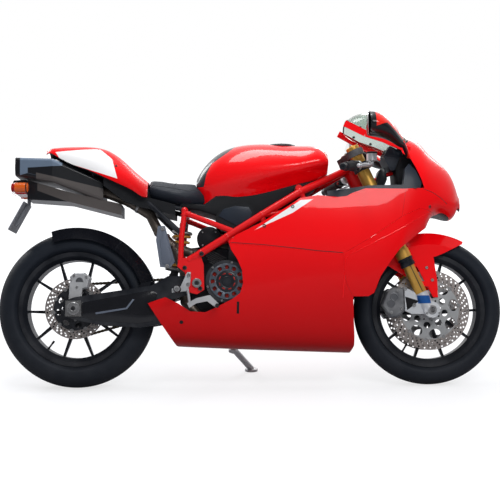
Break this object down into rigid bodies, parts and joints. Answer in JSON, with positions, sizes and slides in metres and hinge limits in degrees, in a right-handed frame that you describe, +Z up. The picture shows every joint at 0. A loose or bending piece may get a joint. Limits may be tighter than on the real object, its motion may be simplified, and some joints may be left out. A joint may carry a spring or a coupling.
{
  "type": "sport bike",
  "caption": "Faired sport bike leaning on its side stand, with trellis frame, steering fork, turning wheels, hinged stand and filler lid.",
  "frame": {"origin": "on the ground, below the middle of the parked bike's box", "axes": "+X forward, +Y to its left, +Z up; the bike leans 12 degrees to its left on its stand"},
  "size_m": [2.0349, 0.8305, 1.1097],
  "materials": {
    "red_paint": "gloss red paint",
    "black_plastic": "satin black plastic",
    "black_paint": "satin black paint",
    "grey_casting": "cast and machined alloy",
    "steel": "machined steel",
    "disc_steel": "heat-tinted disc steel",
    "gold_alloy": "gold anodised alloy",
    "spring_paint": "ochre paint",
    "tyre_rubber": "black rubber",
    "seat_cover": "black seat vinyl",
    "clear_screen": "clear tinted screen",
    "lamp_glass": "clear lamp glass",
    "lamp_red": "red and amber lens",
    "plate_grey": "bare plate",
    "silencer_grey": "grey coated steel",
    "chain_steel": "dark chain steel"
  },
  "bodies": {
    "chassis": {"chain": "chain_steel", "rear_axle": "steel", "rear_caliper": "grey_casting", "rear_mudguard": "black_plastic", "frame_trellis": "red_paint", "subframe": "black_paint", "engine_block": "grey_casting", "clutch_cover": "black_paint", "swingarm": "black_paint", "shock_absorber": "steel", "shock_spring": "spring_paint", "exhaust_pipes": "steel", "heat_shield": "silencer_grey", "silencer": "silencer_grey", "tail_tray": "black_plastic", "tail_cowl": "red_paint", "seat_pad": "seat_cover", "fuel_tank": "red_paint", "rear_lamps": "lamp_red", "plate_holder": "plate_grey", "nose_fairing": "red_paint", "headlamps": "lamp_glass", "windscreen": "clear_screen", "side_panels": "red_paint", "vent_panels": "red_paint", "belly_pans": "red_paint", "radiator": "black_paint", "cockpit_panels": "black_plastic", "airbox_covers": "black_plastic", "mirrors": "red_paint", "footrests": "grey_casting"},
    "steering": {"yokes": "grey_casting", "outer_tubes": "gold_alloy", "fork_lowers": "grey_casting", "front_calipers": "grey_casting", "front_axle": "steel", "handlebars": "black_paint", "hand_levers": "steel", "front_mudguard": "red_paint"},
    "front_wheel": {"front_tyre": "tyre_rubber", "front_rim": "black_paint", "front_discs": "disc_steel"},
    "rear_wheel": {"rear_tyre": "tyre_rubber", "rear_rim": "black_paint", "rear_disc": "disc_steel", "rear_sprocket": "steel"},
    "side_stand": {"side_stand": "grey_casting"},
    "fuel_cap": {"fuel_cap": "grey_casting"}
  },
  "joints": [
    {"name": "steer", "type": "hinge", "parent": "chassis", "child": "steering", "pos_m": [0.48486, -0.05409, 0.70921], "axis": [-0.4147, 0.1892, 0.8901], "range_deg": [-26, 26]},
    {"name": "front_wheel_spin", "type": "hinge", "parent": "steering", "child": "front_wheel", "pos_m": [0.7175, -0.14218, 0.2948], "axis": [0, 0.9781, -0.2079], "continuous": true},
    {"name": "rear_wheel_spin", "type": "hinge", "parent": "chassis", "child": "rear_wheel", "pos_m": [-0.7025, -0.13892, 0.31013], "axis": [0, 0.9781, -0.2079], "continuous": true},
    {"name": "stand_fold", "type": "hinge", "parent": "chassis", "child": "side_stand", "pos_m": [-0.07245, -0.04608, 0.12167], "axis": [0.1926, 0.6246, 0.7569], "range_deg": [0, 105]},
    {"name": "cap_hinge", "type": "hinge", "parent": "chassis", "child": "fuel_cap", "pos_m": [0.18149, -0.00101, 0.95896], "axis": [0, 0.9781, -0.2079], "range_deg": [0, 90]}
  ]
}
